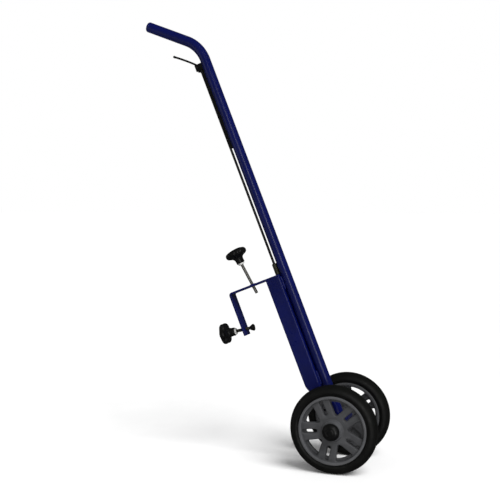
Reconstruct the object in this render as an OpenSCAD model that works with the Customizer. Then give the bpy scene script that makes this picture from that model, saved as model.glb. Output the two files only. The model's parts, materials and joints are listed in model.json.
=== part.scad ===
// Drum dolly: one leaning tube column on two wheels, with a rim hook, two hand screws and a squeeze-lever catch.
// Whole part: Z up, X away from the load, Y along the axle, origin on the floor midway between the wheels.
// On the column, z runs up along the tube and -x points to the load.

/* [Column] */
// Outer diameter of the column tube
tube_d = 25; // [22:1:30]
// Wall of the column tube
tube_wall = 2; // [1.5:0.5:3]
// Lean of the column from the vertical, in degrees
lean = 21.7; // [15:0.1:25]
// Axle centre to the corner where the column's and the grip's centre lines cross
column_len = 965; // [900:1:1050]
// Angle between the column and the grip, in degrees
grip_angle = 46.6; // [40:0.1:55]
// Centre line radius of the bend below the grip
bend_r = 85; // [60:1:90]
// Corner to the grip's end, along the grip
grip_len = 152; // [130:1:180]

/* [Channel and hook] */
// Outer width of the channel and of the hook's flat bar
bar_w = 35; // [32:1:40]
// Depth of the channel, web and flange together
channel_depth = 36; // [34:1:40]
// Sheet thickness of the channel
channel_t = 3; // [2.5:0.5:3.5]
// Height of the channel's lower end above the axle, along the column
channel_foot = 77; // [60:1:90]
// Height of the channel's upper end above the axle, along the column
channel_head = 371; // [360:1:380]
// Radius of the flanges' lower front corners
channel_corner_r = 32; // [20:1:32]
// Thickness of the hook's flat bar
bar_t = 5; // [4.5:0.5:5.5]
// Column axis to the outer face of the hook's leg
hook_reach = 149.5; // [140:0.5:155]
// Inner radius of the hook's bend
hook_bend_r = 3; // [2:0.5:5]
// Length of the hook's leg below the top of its bar
leg_len = 110; // [105:1:120]

/* [Hand screws] */
// Thread diameter of both hand screws
screw_d = 8; // [8:1:8]
// Column axis to the top screw, where it crosses the hook's bar
top_screw_x = 88.7; // [80:0.5:95]
// Lean of the top screw away from the column, in degrees
top_screw_tilt = 8; // [0:0.5:9]
// Top of the hook's bar down to the side screw, where it crosses the leg
side_screw_drop = 95; // [90:1:97]
// Rise of the side screw from pad to knob, in degrees
side_screw_tilt = 7; // [0:0.5:9]
// Diameter over the lobes of a star knob
knob_d = 54; // [48:1:56]
// Height of a star knob from its foot to its crown
knob_h = 38; // [34:1:40]
// Lobes on a star knob
knob_lobes = 6; // [5:1:7]

/* [Wheels] */
// Diameter over the tyre
wheel_d = 203; // [198:1:206]
// Width of the tyre
tyre_w = 37; // [35:1:38]
// Distance between the two wheels' middle planes
track = 158; // [152:1:166]
// Radius of the rim's seat, where the tyre sits
rim_r = 77; // [76:1:78]
// Diameter of the axle
axle_d = 12; // [11:1:13]
// Spokes of a rim, each a pair of bars
spokes = 5; // [5:1:5]

/* [Catch] */
// Diameter of the push rod
rod_d = 6; // [5:0.5:6]
// Column axis to the push rod's axis
rod_x = 19; // [19:0.5:20]
// Length of the squeeze lever from its pivot to its rounded tip
lever_len = 69; // [60:1:76]

/* [Hidden] */
$fn = 64;

BLUE = [0.06, 0.08, 0.36];
BLACK = [0.06, 0.06, 0.06];
TYRE_BLACK = [0.10, 0.10, 0.10];
RIM_GREY = [0.36, 0.37, 0.39];
ZINC = [0.78, 0.78, 0.76];
DARK_STEEL = [0.20, 0.20, 0.19];

// Gap between fixed pieces that fit each other, and radial clearance of a running fit
fixed_gap = 0.02;
running_gap = 0.06;
// Length by which cutting bodies run past what they cut
over = 1;

// Column
wheel_r = wheel_d / 2;
bend_run = bend_r * tan(grip_angle / 2);
bend_z = column_len - bend_run;
plug_dome_h = 5;
plug_rim_h = 1.5;
grip_tube_len = grip_len - bend_run - plug_dome_h - plug_rim_h;

// Channel and hook
web_x = tube_d / 2 + 0.05;
channel_front_x = web_x + channel_depth;
channel_bend_r = 4;
bar_top = channel_head + bar_t;
leg_foot = bar_top - leg_len;
hook_outer_r = hook_bend_r + bar_t;
leg_mid_x = hook_reach - bar_t / 2;
side_screw_z = bar_top - side_screw_drop;
insert_d = 11;
insert_flange_d = 15;
insert_flange_t = 1.2;
seam_z = [[338, 369], [97, 132]];

// Hand screws: distances along each screw from where it crosses the hook
thread_bore_d = screw_d + 2 * running_gap;
top_tip = -20.7;
top_knob_foot = 62;
side_knob_foot = 27;
pad_face = -24.2;
pad_len = 10.5;
pad_d = 16.6;
pad_neck_d = 9.4;
pad_ball_d = 6;
pad_ball_z = pad_face + 5;
pad_stem_d = 4.4;
pad_mouth_d = 6.4;
bush_d = 13;
bush_depth = 14;
bush_neck = 4.6;
bush_flange_t = 1.2;
washer_groove_d = 10;
washer_t = 1.6;
washer_d = 16.5;

// Wheels: offsets from a wheel's middle plane, outward
rim_half_w = 19.5;
rim_wall = 5;
lip_r = rim_r + 1.5;
lip_t = 3;
disc_in = 1;
disc_step = 7;
disc_out = 13;
back_window_r = rim_r - 11.5;
back_slot_x = 59.5;
front_window_r = rim_r - 7;
front_slot_x = 66;
hub_r = 22;
hub_in = -19.5;
hub_out = 27;
hub_seat = 23;
cap_r = 20;
cap_apex = 39;
cap_wall = 2;
cap_spigot_r = 17;
bush_r = 9;
axle_end = 33.5;
boss_d = 28;
boss_half = track / 2 + hub_in - 1.8;

// Catch
pivot_x = 25.3;
pivot_z = 917;
pin_d = 4;
lever_w = 8;
lever_t = 4.8;
lever_rise = 5.8;
lever_arch_r = 500;
lever_tip_r = 3;
lever_eye_r = 5;
nose_r = 3;
nose_z = 915;
rod_foot = 300;
rod_top = 908;
head_top = nose_z - nose_r - 0.05;
lug_w = 15.2;
lug_slot_w = lever_w + 0.6;
lug_z = [908, 925];
guide_z = [702, 899];
housing_d = 12;
housing_h = 28;
housing_bore_d = 10.4;
housing_top_t = 3;
collar_d = 9.6;
collar_h = 4;
spring_d = 9.2;
spring_wire = 1.1;
catch_plate_z = 318;
catch_plate_t = 3;

// ---- Frames ----

module on_column() {
    translate([0, 0, wheel_r]) rotate([0, -lean, 0]) children();
}

// z runs from the tip to the knob; the origin is where the screw crosses the hook's bar
module on_top_screw() {
    on_column() translate([-top_screw_x, 0, channel_head + bar_t / 2]) rotate([0, -top_screw_tilt, 0]) children();
}

// z runs from the pad to the knob; the origin is where the screw crosses the hook's leg
module on_side_screw() {
    on_column() translate([-leg_mid_x, 0, side_screw_z]) rotate([0, side_screw_tilt - 90, 0]) children();
}

// z runs outward along the axle from the wheel's middle plane; side is -1 on the left and 1 on the right
module on_wheel(side) {
    translate([0, side * track / 2, wheel_r]) rotate([-side * 90, 0, 0]) children();
}

// A flat shape drawn with x along the column's x and y along its z, extruded across by w
module across(w) {
    rotate([90, 0, 0]) linear_extrude(height = w, center = true) children();
}

// ---- Shared shapes ----

module pipe(outer_d, inner_d, z0, z1) {
    translate([0, 0, z0]) difference() {
        cylinder(d = outer_d, h = z1 - z0);
        translate([0, 0, -over]) cylinder(d = inner_d, h = z1 - z0 + 2 * over);
    }
}

module at_grip_end() {
    translate([-bend_r, 0, bend_z]) rotate([0, -grip_angle, 0]) translate([bend_r, 0, grip_tube_len]) children();
}

// ---- Frame ----

// Straight column, coped over the boss, then the bend, its wall a little swollen, and the grip
module column_tube() {
    bore_d = tube_d - 2 * tube_wall;
    swell = 0.05;
    lap = 0.5;
    color(BLUE) on_column() {
        difference() {
            pipe(tube_d, bore_d, 0, bend_z + lap);
            rotate([90, 0, 0]) cylinder(d = boss_d + 2 * fixed_gap, h = 2 * tube_d, center = true);
        }
        translate([-bend_r, 0, bend_z]) rotate([90, 0, 0]) rotate_extrude(angle = grip_angle)
            translate([bend_r, 0]) difference() {
                circle(d = tube_d + 2 * swell);
                circle(d = bore_d - 2 * swell);
            }
        at_grip_end() pipe(tube_d, bore_d, -grip_tube_len - lap, 0);
    }
}

// Domed plug pressed into the grip's open end
module grip_plug() {
    spigot_len = 14;
    spigot_r = tube_d / 2 - tube_wall - fixed_gap;
    dome = [for (a = [0 : 15 : 90]) [tube_d / 2 * cos(a), plug_rim_h + plug_dome_h * sin(a)]];
    color(BLUE) on_column() at_grip_end() rotate_extrude()
        polygon(concat([[0, -spigot_len], [spigot_r, -spigot_len], [spigot_r, fixed_gap], [tube_d / 2, fixed_gap]],
            dome));
}

module rounded_rect(x0, x1, w, r) {
    for (x = [x0 + r, x1 - r], y = [-w / 2 + r, w / 2 - r]) {
        translate([x, y]) circle(r = r);
    }
    translate([x0 + r, -w / 2]) square([x1 - x0 - 2 * r, w]);
    translate([x0, r - w / 2]) square([x1 - x0, w - 2 * r]);
}

// U section with its web's back at -web_x and its open side to the load
module channel_section() {
    intersection() {
        difference() {
            rounded_rect(-channel_front_x - 2 * channel_bend_r, -web_x, bar_w, channel_bend_r);
            rounded_rect(-channel_front_x - 3 * channel_bend_r, -web_x - channel_t, bar_w - 2 * channel_t,
                channel_bend_r - channel_t);
        }
        translate([-channel_front_x, -bar_w]) square([channel_depth, 2 * bar_w]);
    }
}

module channel() {
    color(BLUE) on_column() difference() {
        translate([0, 0, channel_foot]) linear_extrude(height = channel_head - channel_foot) channel_section();
        across(2 * bar_w) difference() {
            translate([-channel_front_x - over, channel_foot - over])
                square([channel_corner_r + over, channel_corner_r + over]);
            translate([channel_corner_r - channel_front_x, channel_corner_r + channel_foot])
                circle(r = channel_corner_r);
        }
    }
}

module hook_profile() {
    translate([hook_outer_r - hook_reach, channel_head]) square([hook_reach - hook_outer_r - web_x, bar_t]);
    translate([-hook_reach, leg_foot]) square([bar_t, leg_len - hook_outer_r]);
    intersection() {
        translate([hook_outer_r - hook_reach, bar_top - hook_outer_r]) difference() {
            circle(r = hook_outer_r);
            circle(r = hook_bend_r);
        }
        translate([-hook_reach, bar_top - hook_outer_r]) square(hook_outer_r);
    }
}

// Flat bar that closes the channel, runs out over the rim and bends down on its far side
module rim_hook() {
    color(BLUE) on_column() difference() {
        across(bar_w) hook_profile();
        translate([-top_screw_x, 0, channel_head - over]) cylinder(d = insert_d + 2 * fixed_gap, h = bar_t + 2 * over);
        translate([-leg_mid_x, 0, side_screw_z]) rotate([0, 90, 0])
            cylinder(d = insert_d + 2 * fixed_gap, h = bar_t + 2 * over, center = true);
        translate([-rod_x, 0, channel_head - over]) cylinder(d = rod_d + 2 * running_gap, h = bar_t + 2 * over);
    }
}

// Flanged thread insert through the bar; its flange lies on the face that z points out of
module thread_insert(tilt) {
    difference() {
        union() {
            translate([0, 0, -bar_t / 2]) cylinder(d = insert_d, h = bar_t + fixed_gap);
            translate([0, 0, bar_t / 2 + fixed_gap]) cylinder(d = insert_flange_d, h = insert_flange_t);
        }
        rotate([0, tilt, 0]) cylinder(d = thread_bore_d, h = 4 * bar_t, center = true);
    }
}

module hook_thread_insert() {
    color(BLUE) on_column() translate([-top_screw_x, 0, channel_head + bar_t / 2]) thread_insert(-top_screw_tilt);
}

module leg_thread_insert() {
    color(BLUE) on_column() translate([-leg_mid_x, 0, side_screw_z]) rotate([0, -90, 0])
        thread_insert(side_screw_tilt);
}

// Fillet welds between the channel's back and the tube, and a ring of weld at the tube's foot
module weld_seams() {
    foot_bead_r = 3;
    color(BLUE) on_column() {
        for (side = [-1, 1], z = seam_z) {
            translate([0, 0, z[0]]) linear_extrude(height = z[1] - z[0]) difference() {
                polygon([[-web_x, side * 3], [-web_x, side * 10.5], [-7.5, side * 10.9]]);
                circle(d = tube_d + 2 * fixed_gap);
            }
        }
        difference() {
            translate([0, 0, boss_d / 2]) rotate_extrude() translate([tube_d / 2, 0]) circle(r = foot_bead_r);
            cylinder(d = tube_d + 2 * fixed_gap, h = boss_d);
            rotate([90, 0, 0]) cylinder(d = boss_d + 2 * fixed_gap, h = 2 * tube_d, center = true);
        }
    }
}

// ---- Axle ----

module axle_boss() {
    color(BLUE) translate([0, 0, wheel_r]) rotate([90, 0, 0])
        pipe(boss_d, axle_d + 2 * fixed_gap, -boss_half, boss_half);
}

module axle() {
    chamfer = 1;
    half = track / 2 + axle_end;
    color(ZINC) translate([0, 0, wheel_r]) rotate([90, 0, 0]) {
        translate([0, 0, chamfer - half]) cylinder(d = axle_d, h = 2 * (half - chamfer));
        for (side = [0, 1]) {
            mirror([0, 0, side]) translate([0, 0, half - chamfer])
                cylinder(d1 = axle_d, d2 = axle_d - 2 * chamfer, h = chamfer);
        }
    }
}

module inner_washers() {
    for (side = [-1, 1]) {
        color(ZINC) on_wheel(side) pipe(24, axle_d + 2 * fixed_gap, hub_in - 1.7, hub_in - 0.2);
    }
}

module outer_washers() {
    for (side = [-1, 1]) {
        color(ZINC) on_wheel(side) pipe(24, axle_d + 2 * fixed_gap, hub_seat + 0.3, hub_seat + 1.8);
    }
}

// Push-on retainers at the axle's ends
module retaining_clips() {
    for (side = [-1, 1]) {
        color(ZINC) on_wheel(side) difference() {
            translate([0, 0, hub_seat + 1.85]) {
                cylinder(d = 21, h = 1);
                translate([0, 0, 1]) cylinder(d1 = 17, d2 = 14, h = 3);
            }
            cylinder(d = axle_d + 2 * fixed_gap, h = 4 * hub_seat);
        }
    }
}

// ---- Wheels ----

module tyre() {
    shoulder_r = 16.5;
    bead_half = 15;
    shoulder = [for (a = [0 : 10 : 90])
        [wheel_r - shoulder_r * (1 - sin(a)), tyre_w / 2 - shoulder_r * (1 - cos(a))]];
    flipped = [for (k = [len(shoulder) - 1 : -1 : 0]) [shoulder[k][0], -shoulder[k][1]]];
    color(TYRE_BLACK) rotate_extrude($fn = 128)
        polygon(concat([[rim_r, -bead_half], [rim_r, bead_half]], shoulder, flipped));
}

// Points of an arc from angle a0 to angle a1
function arc(centre, r, a0, a1, steps) = [
    for (k = [0 : steps])
        let (a = a0 + (a1 - a0) * k / steps)
        centre + r * [cos(a), sin(a)]
];

// Window between two spokes, about the x axis: broad at the rim and rounded at the hub
module rim_window(far_r) {
    corner_r = 3;
    half_angle = 14.5;
    near_r = 4.5;
    near_x = 40;
    far = (far_r - corner_r) * [cos(half_angle), sin(half_angle)];
    side = atan2(far[1], far[0] - near_x) + 90;
    polygon(concat(
        arc([near_x, 0], near_r, side, 360 - side, 6),
        arc([far[0], -far[1]], corner_r, -side, -half_angle, 4),
        arc([0, 0], far_r, 4 - half_angle, half_angle - 4, 4),
        arc(far, corner_r, half_angle, side, 4)
    ));
}

// Slot between the two bars of a spoke, out to the centre of its far end
module spoke_slot(far_x) {
    near_x = 40.5;
    slot_w = 7.5;
    translate([near_x, -slot_w / 2]) square([far_x - near_x, slot_w]);
    for (x = [near_x, far_x]) {
        translate([x, 0]) circle(d = slot_w);
    }
}

// All windows and slots of a rim, cut from height z0 to z1; turn is the angle of its first spoke
module rim_openings(turn, z0, z1, window_r, slot_x) {
    for (k = [0 : spokes - 1]) {
        rotate(turn + k * 360 / spokes) translate([0, 0, z0])
            linear_extrude(height = z1 - z0) spoke_slot(slot_x);
        rotate(turn + (k + 0.5) * 360 / spokes) translate([0, 0, z0])
            linear_extrude(height = z1 - z0) rim_window(window_r);
    }
}

// Spoked rim: barrel with two lips that hold the tyre, disc with stepped openings, and hub
module rim(turn) {
    inner_r = rim_r - rim_wall;
    seat_r = rim_r - fixed_gap;
    seat_z = rim_half_w - lip_t;
    ease = 1.5;
    bore_r = bush_r + fixed_gap;
    color(RIM_GREY) difference() {
        rotate_extrude($fn = 128) polygon([
            [bore_r, hub_in], [hub_r, hub_in], [hub_r, disc_in], [inner_r, disc_in],
            [inner_r, ease - rim_half_w], [inner_r + ease, -rim_half_w], [lip_r, -rim_half_w], [lip_r, -seat_z],
            [seat_r, -seat_z], [seat_r, seat_z], [lip_r, seat_z],
            [lip_r, rim_half_w], [inner_r + ease, rim_half_w], [inner_r, rim_half_w - ease],
            [inner_r, disc_out], [hub_r, disc_out], [hub_r, hub_out], [cap_spigot_r, hub_out],
            [cap_spigot_r, hub_seat], [bore_r, hub_seat]
        ]);
        rim_openings(turn, disc_in - over, disc_step + over, back_window_r, back_slot_x);
        rim_openings(turn, disc_step, disc_out + over, front_window_r, front_slot_x);
    }
}

// Two plain bushes pressed into a hub from its two ends
module hub_bushes() {
    len_each = 12;
    color(BLACK) for (z = [hub_in, hub_seat - len_each]) {
        pipe(2 * bush_r, axle_d + 2 * running_gap, z, z + len_each);
    }
}

module dome_profile(r, h, z0) {
    polygon(concat([[0, z0]], [for (a = [0 : 10 : 90]) [r * cos(a), z0 + h * sin(a)]]));
}

// Domed cap that plugs into the hub's mouth and covers the axle's end
module hub_cap() {
    skirt = 2;
    spigot_wall = 1.5;
    color(BLACK) rotate_extrude() {
        difference() {
            union() {
                translate([0, hub_out + fixed_gap]) square([cap_r, skirt]);
                dome_profile(cap_r, cap_apex - hub_out - skirt, hub_out + skirt);
            }
            square([cap_spigot_r - spigot_wall, hub_out + skirt]);
            dome_profile(cap_spigot_r - spigot_wall, cap_apex - hub_out - skirt - cap_wall, hub_out + skirt);
        }
        translate([cap_spigot_r - spigot_wall, hub_seat + 0.5])
            square([spigot_wall - fixed_gap, hub_out - hub_seat]);
    }
}

module left_tyre() { on_wheel(-1) tyre(); }
module left_rim() { on_wheel(-1) rim(186); }
module left_bushes() { on_wheel(-1) hub_bushes(); }
module left_hub_cap() { on_wheel(-1) hub_cap(); }
module right_tyre() { on_wheel(1) tyre(); }
module right_rim() { on_wheel(1) rim(182); }
module right_bushes() { on_wheel(1) hub_bushes(); }
module right_hub_cap() { on_wheel(1) hub_cap(); }

// ---- Hand screws ----

// Star knob with its foot at z = 0: a stem that flares into a domed, scalloped head
module star_knob() {
    foot_r = 9.5;
    stem_r = 11.5;
    head_z = 19;
    rim_z = 26;
    scallop_r = 9;
    dome = [for (a = [0 : 15 : 90]) [knob_d / 2 * cos(a), rim_z + (knob_h - rim_z) * sin(a)]];
    color(BLACK) difference() {
        rotate_extrude() polygon(concat([
            [0, 0], [foot_r, 0], [foot_r + 0.5, 7], [stem_r, 13], [stem_r + 5, head_z - 1], [knob_d / 2 - 3, head_z]
        ], dome));
        for (k = [0 : knob_lobes - 1]) {
            rotate(k * 360 / knob_lobes) translate([knob_d / 2 + 5.5, 0, head_z - 4])
                cylinder(r = scallop_r, h = knob_h);
        }
        translate([0, 0, -over]) cylinder(d = bush_d + 2 * fixed_gap, h = bush_depth + over);
    }
}

// Zinc bush moulded into a knob's foot; its neck holds a captive washer in a groove
module knob_bush() {
    shoulder = 1.15;
    color(ZINC) difference() {
        union() {
            translate([0, 0, -shoulder]) cylinder(d = bush_d, h = shoulder + bush_depth);
            translate([0, 0, -bush_neck]) cylinder(d = washer_groove_d, h = bush_neck);
            translate([0, 0, -bush_neck]) cylinder(d = bush_d, h = bush_flange_t);
        }
        translate([0, 0, -bush_neck - over]) cylinder(d = screw_d + 2 * fixed_gap, h = bush_depth + bush_neck);
    }
}

module captive_washer() {
    play = 0.3;
    z0 = play + bush_flange_t - bush_neck;
    color(ZINC) pipe(washer_d, washer_groove_d + play, z0, z0 + washer_t);
}

module top_knob() { on_top_screw() translate([0, 0, top_knob_foot]) star_knob(); }
module top_knob_bush() { on_top_screw() translate([0, 0, top_knob_foot]) knob_bush(); }
module top_washer() { on_top_screw() translate([0, 0, top_knob_foot]) captive_washer(); }
module side_knob() { on_side_screw() translate([0, 0, side_knob_foot]) star_knob(); }
module side_knob_bush() { on_side_screw() translate([0, 0, side_knob_foot]) knob_bush(); }
module side_washer() { on_side_screw() translate([0, 0, side_knob_foot]) captive_washer(); }

module top_screw_rod() {
    chamfer = 1;
    color(ZINC) on_top_screw() {
        translate([0, 0, top_tip]) cylinder(d1 = screw_d - 2 * chamfer, d2 = screw_d, h = chamfer);
        translate([0, 0, top_tip + chamfer])
            cylinder(d = screw_d, h = top_knob_foot + bush_depth - 2 - top_tip - chamfer);
    }
}

// The rod ends in a stem and ball, on which the pad swivels
module side_screw_rod() {
    shoulder_z = pad_face + pad_len + 0.8;
    color(DARK_STEEL) on_side_screw() {
        translate([0, 0, shoulder_z]) cylinder(d = screw_d, h = side_knob_foot + bush_depth - 2 - shoulder_z);
        translate([0, 0, pad_ball_z]) cylinder(d = pad_stem_d, h = shoulder_z + over - pad_ball_z);
        translate([0, 0, pad_ball_z]) sphere(d = pad_ball_d);
    }
}

// Conical pad with a ball socket, whose mouth flares so that the pad can tilt
module side_pad() {
    color(BLACK) on_side_screw() difference() {
        union() {
            translate([0, 0, pad_face]) cylinder(d = pad_d, h = 3);
            translate([0, 0, pad_face + 3]) cylinder(d1 = pad_d, d2 = pad_neck_d, h = pad_len - 3);
        }
        translate([0, 0, pad_ball_z]) sphere(d = pad_ball_d + 2 * running_gap);
        translate([0, 0, pad_ball_z]) cylinder(d = pad_stem_d + 2 * running_gap, h = pad_len);
        translate([0, 0, pad_ball_z])
            cylinder(d1 = pad_stem_d, d2 = pad_mouth_d, h = pad_face + pad_len - pad_ball_z + fixed_gap);
    }
}

// ---- Catch ----

module lever_lug() {
    front = pivot_x + 4;
    slot_back = 14.2;
    height = lug_z[1] - lug_z[0];
    color(BLACK) on_column() difference() {
        translate([-front, -lug_w / 2, lug_z[0]]) cube([front, lug_w, height]);
        translate([-front - over, -lug_slot_w / 2, lug_z[0] - over])
            cube([front + over - slot_back, lug_slot_w, height + 2 * over]);
        translate([0, 0, lug_z[0] - over]) cylinder(d = tube_d + 2 * fixed_gap, h = height + 2 * over);
        translate([-pivot_x, 0, pivot_z]) rotate([90, 0, 0])
            cylinder(d = pin_d + 2 * fixed_gap, h = 2 * lug_w, center = true);
    }
}

module lever_pin() {
    head_d = 7;
    head_t = 1.4;
    color(BLACK) on_column() translate([-pivot_x, 0, pivot_z]) rotate([90, 0, 0]) {
        for (side = [0, 1]) {
            mirror([0, 0, side]) {
                cylinder(d = pin_d, h = lug_w / 2 + head_t);
                translate([0, 0, lug_w / 2 + fixed_gap]) cylinder(d = head_d, h = head_t);
            }
        }
    }
}

// Slightly arched bar of the squeeze lever, along x from its pivot, with its upper edge towards -y
module lever_bar() {
    half = asin(lever_len / 2 / lever_arch_r);
    centre = [lever_len / 2, lever_arch_r * cos(half) - lever_rise];
    polygon(concat(
        [[-lever_eye_r / 2, 1 - lever_eye_r]],
        arc(centre, lever_arch_r + lever_t / 2, 0.9 - 90 - half, half - 90, 8),
        arc(centre, lever_arch_r - lever_t / 2, half - 90, 0.4 - 90 - half, 8)
    ));
    translate([lever_len, -lever_rise]) circle(r = lever_tip_r);
}

// Eye on the pivot, a nose that presses on the rod's head, and a bar that runs out below the grip
module squeeze_lever() {
    nose = [pivot_x - rod_x, nose_z - pivot_z];
    nose_neck = 0.4;
    color(BLACK) on_column() across(lever_w) translate([-pivot_x, pivot_z]) difference() {
        union() {
            circle(r = lever_eye_r);
            translate([0, nose[1] - nose_r + nose_neck]) square([nose[0], 2 * (nose_r - nose_neck)]);
            translate(nose) circle(r = nose_r);
            rotate(90 + grip_angle) lever_bar();
        }
        circle(d = pin_d + 2 * running_gap);
    }
}

module push_rod() {
    chamfer = 1.5;
    color(BLACK) on_column() translate([-rod_x, 0, rod_foot]) {
        cylinder(d1 = rod_d - 2 * chamfer, d2 = rod_d, h = chamfer);
        translate([0, 0, chamfer]) cylinder(d = rod_d, h = rod_top - rod_foot - chamfer);
    }
}

// Cap on the rod's upper end, which the lever's nose presses
module rod_head() {
    skirt = 4;
    color(BLACK) on_column() translate([-rod_x, 0, rod_top - skirt]) difference() {
        cylinder(d = lever_w, h = head_top - rod_top + skirt);
        translate([0, 0, -over]) cylinder(d = rod_d + 2 * fixed_gap, h = skirt + over + fixed_gap);
    }
}

// Strip on the tube's front, grooved for the rod
module rod_guide() {
    strip_w = 10;
    front = rod_x - 1;
    height = guide_z[1] - guide_z[0];
    color(BLACK) on_column() translate([0, 0, guide_z[0]]) difference() {
        translate([-front, -strip_w / 2, 0]) cube([front, strip_w, height]);
        translate([0, 0, -over]) cylinder(d = tube_d + 2 * fixed_gap, h = height + 2 * over);
        translate([-rod_x, 0, -over]) cylinder(d = rod_d + 0.16, h = height + 2 * over);
    }
}

// Sleeve on the hook's bar with the return spring inside; its closed top guides the rod
module spring_housing() {
    edge = 1.5;
    color(DARK_STEEL) on_column() translate([-rod_x, 0, bar_top + fixed_gap]) difference() {
        union() {
            cylinder(d = housing_d, h = housing_h - edge);
            translate([0, 0, housing_h - edge]) cylinder(d1 = housing_d, d2 = housing_d - 2 * edge, h = edge);
        }
        translate([0, 0, -over]) cylinder(d = housing_bore_d, h = housing_h - housing_top_t + over);
        cylinder(d = rod_d + 2 * running_gap, h = housing_h + over);
    }
}

module spring_collar() {
    top = bar_top + housing_h - housing_top_t - 0.1;
    color(ZINC) on_column() translate([-rod_x, 0, 0])
        pipe(collar_d, rod_d + 2 * fixed_gap, top - collar_h, top);
}

// Outer shape of the spring between the hook's bar and the collar
module return_spring() {
    top = bar_top + housing_h - housing_top_t - 0.2 - collar_h;
    color(ZINC) on_column() translate([-rod_x, 0, 0])
        pipe(spring_d, spring_d - 2 * spring_wire, bar_top + 0.1, top);
}

// Plate across the channel that guides the rod's lower end
module catch_guide() {
    inner_w = bar_w - 2 * channel_t - 2 * fixed_gap;
    depth = 22;
    color(BLUE) on_column() difference() {
        translate([-web_x - channel_t - fixed_gap - depth, -inner_w / 2 + over, catch_plate_z])
            cube([depth, inner_w - 2 * over, catch_plate_t]);
        for (side = [-1, 1]) {
            translate([-web_x - channel_t - fixed_gap, side * inner_w / 2, catch_plate_z - over])
                cylinder(r = 1.5, h = catch_plate_t + 2 * over);
        }
        translate([-rod_x, 0, catch_plate_z - over])
            cylinder(d = rod_d + 2 * running_gap, h = catch_plate_t + 2 * over);
    }
}

column_tube();
grip_plug();
channel();
rim_hook();
hook_thread_insert();
leg_thread_insert();
weld_seams();
axle_boss();
axle();
inner_washers();
outer_washers();
retaining_clips();
left_tyre();
left_rim();
left_bushes();
left_hub_cap();
right_tyre();
right_rim();
right_bushes();
right_hub_cap();
top_screw_rod();
top_knob();
top_knob_bush();
top_washer();
side_screw_rod();
side_knob();
side_knob_bush();
side_washer();
side_pad();
lever_lug();
lever_pin();
squeeze_lever();
push_rod();
rod_head();
rod_guide();
spring_housing();
spring_collar();
return_spring();
catch_guide();
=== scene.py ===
"""Drum dolly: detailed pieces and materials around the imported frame.

Each piece is built in its own axes in millimetres, on a matrix that places it in the frame's metres.
"""

import json
import math

import bmesh
import bpy
from mathutils import Matrix, Vector


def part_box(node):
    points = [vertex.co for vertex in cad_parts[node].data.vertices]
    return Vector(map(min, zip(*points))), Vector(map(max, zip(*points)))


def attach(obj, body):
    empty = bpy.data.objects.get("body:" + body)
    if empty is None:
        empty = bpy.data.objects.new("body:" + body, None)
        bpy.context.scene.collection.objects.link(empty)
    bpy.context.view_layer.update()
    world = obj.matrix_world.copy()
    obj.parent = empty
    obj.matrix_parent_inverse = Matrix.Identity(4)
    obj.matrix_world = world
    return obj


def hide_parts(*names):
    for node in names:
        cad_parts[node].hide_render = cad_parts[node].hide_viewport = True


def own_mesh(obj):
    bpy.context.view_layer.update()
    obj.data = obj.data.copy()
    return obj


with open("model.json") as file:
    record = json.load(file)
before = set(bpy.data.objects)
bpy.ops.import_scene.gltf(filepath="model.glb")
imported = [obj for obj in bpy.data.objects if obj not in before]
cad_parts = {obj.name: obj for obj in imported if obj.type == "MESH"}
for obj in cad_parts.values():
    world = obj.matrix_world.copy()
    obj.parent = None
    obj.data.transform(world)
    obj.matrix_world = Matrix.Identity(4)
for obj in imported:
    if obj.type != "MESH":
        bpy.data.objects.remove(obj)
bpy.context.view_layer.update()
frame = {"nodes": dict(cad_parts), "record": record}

MM = 0.001
TAU = 2 * math.pi
RECORD = frame["record"]
JOINTS = {joint["name"]: joint for joint in RECORD["behaviour"]["joints"]}
MOUNTS = {mount["name"]: mount for mount in RECORD["mounts"]}
WHEELS = ("left", "right")


# ---- Axes ----


def axes(origin, z_axis, y_hint=(0, 1, 0)):
    """Matrix from a piece's millimetres to the frame: z along z_axis, y as near y_hint as it can be."""
    z = Vector(z_axis).normalized()
    x = Vector(y_hint).cross(z).normalized()
    y = z.cross(x)
    turn = Matrix((x, y, z)).transposed().to_4x4()
    return Matrix.Translation(origin) @ turn @ Matrix.Scale(MM, 4)


def moved(matrix, x=0, y=0, z=0):
    return matrix @ Matrix.Translation((x, y, z))


AXLE = Vector(JOINTS["left_wheel_spin"]["pos_m"])
AXLE.y = 0
COLUMN_UP = -Vector(JOINTS["rod_travel"]["axis"])
COLUMN = axes(AXLE, COLUMN_UP)
CROSS = axes(AXLE, (0, 1, 0), (0, 0, 1))
TOP_SCREW = axes(JOINTS["top_knob_turn"]["pos_m"], -Vector(JOINTS["top_knob_turn"]["axis"]))
SIDE_SCREW = axes(JOINTS["side_knob_turn"]["pos_m"], -Vector(JOINTS["side_knob_turn"]["axis"]))
GRIP = MOUNTS["hand_grip"]
GRIP_LEN = GRIP["dims"]["length_mm"]
GRIP_END = axes(Vector(GRIP["pos_m"]) + Vector(GRIP["axis"]) * GRIP_LEN * MM / 2, GRIP["axis"])
WHEEL = {
    side: axes(JOINTS[side + "_wheel_spin"]["pos_m"], (0, sign, 0), (0, 0, 1))
    for side, sign in (("left", -1), ("right", 1))
}


# ---- Mesh building ----


def add_mesh(name, verts, faces, matrix, material, bevel=0, sharp=None):
    """A mesh object from local points; sharp is the angle in degrees above which an edge stays crisp."""
    mesh = bpy.data.meshes.new(name)
    mesh.from_pydata([matrix @ Vector(v) for v in verts], [], faces)
    tidy = bmesh.new()
    tidy.from_mesh(mesh)
    bmesh.ops.remove_doubles(tidy, verts=tidy.verts, dist=1e-7)
    bmesh.ops.recalc_face_normals(tidy, faces=tidy.faces)
    tidy.to_mesh(mesh)
    tidy.free()
    mesh.shade_smooth()
    if sharp is not None:
        mesh.set_sharp_from_angle(angle=math.radians(sharp))
    mesh.materials.append(material)
    piece = bpy.data.objects.new(name, mesh)
    bpy.context.collection.objects.link(piece)
    if bevel:
        round_edges(piece, bevel)
    return piece


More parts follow.
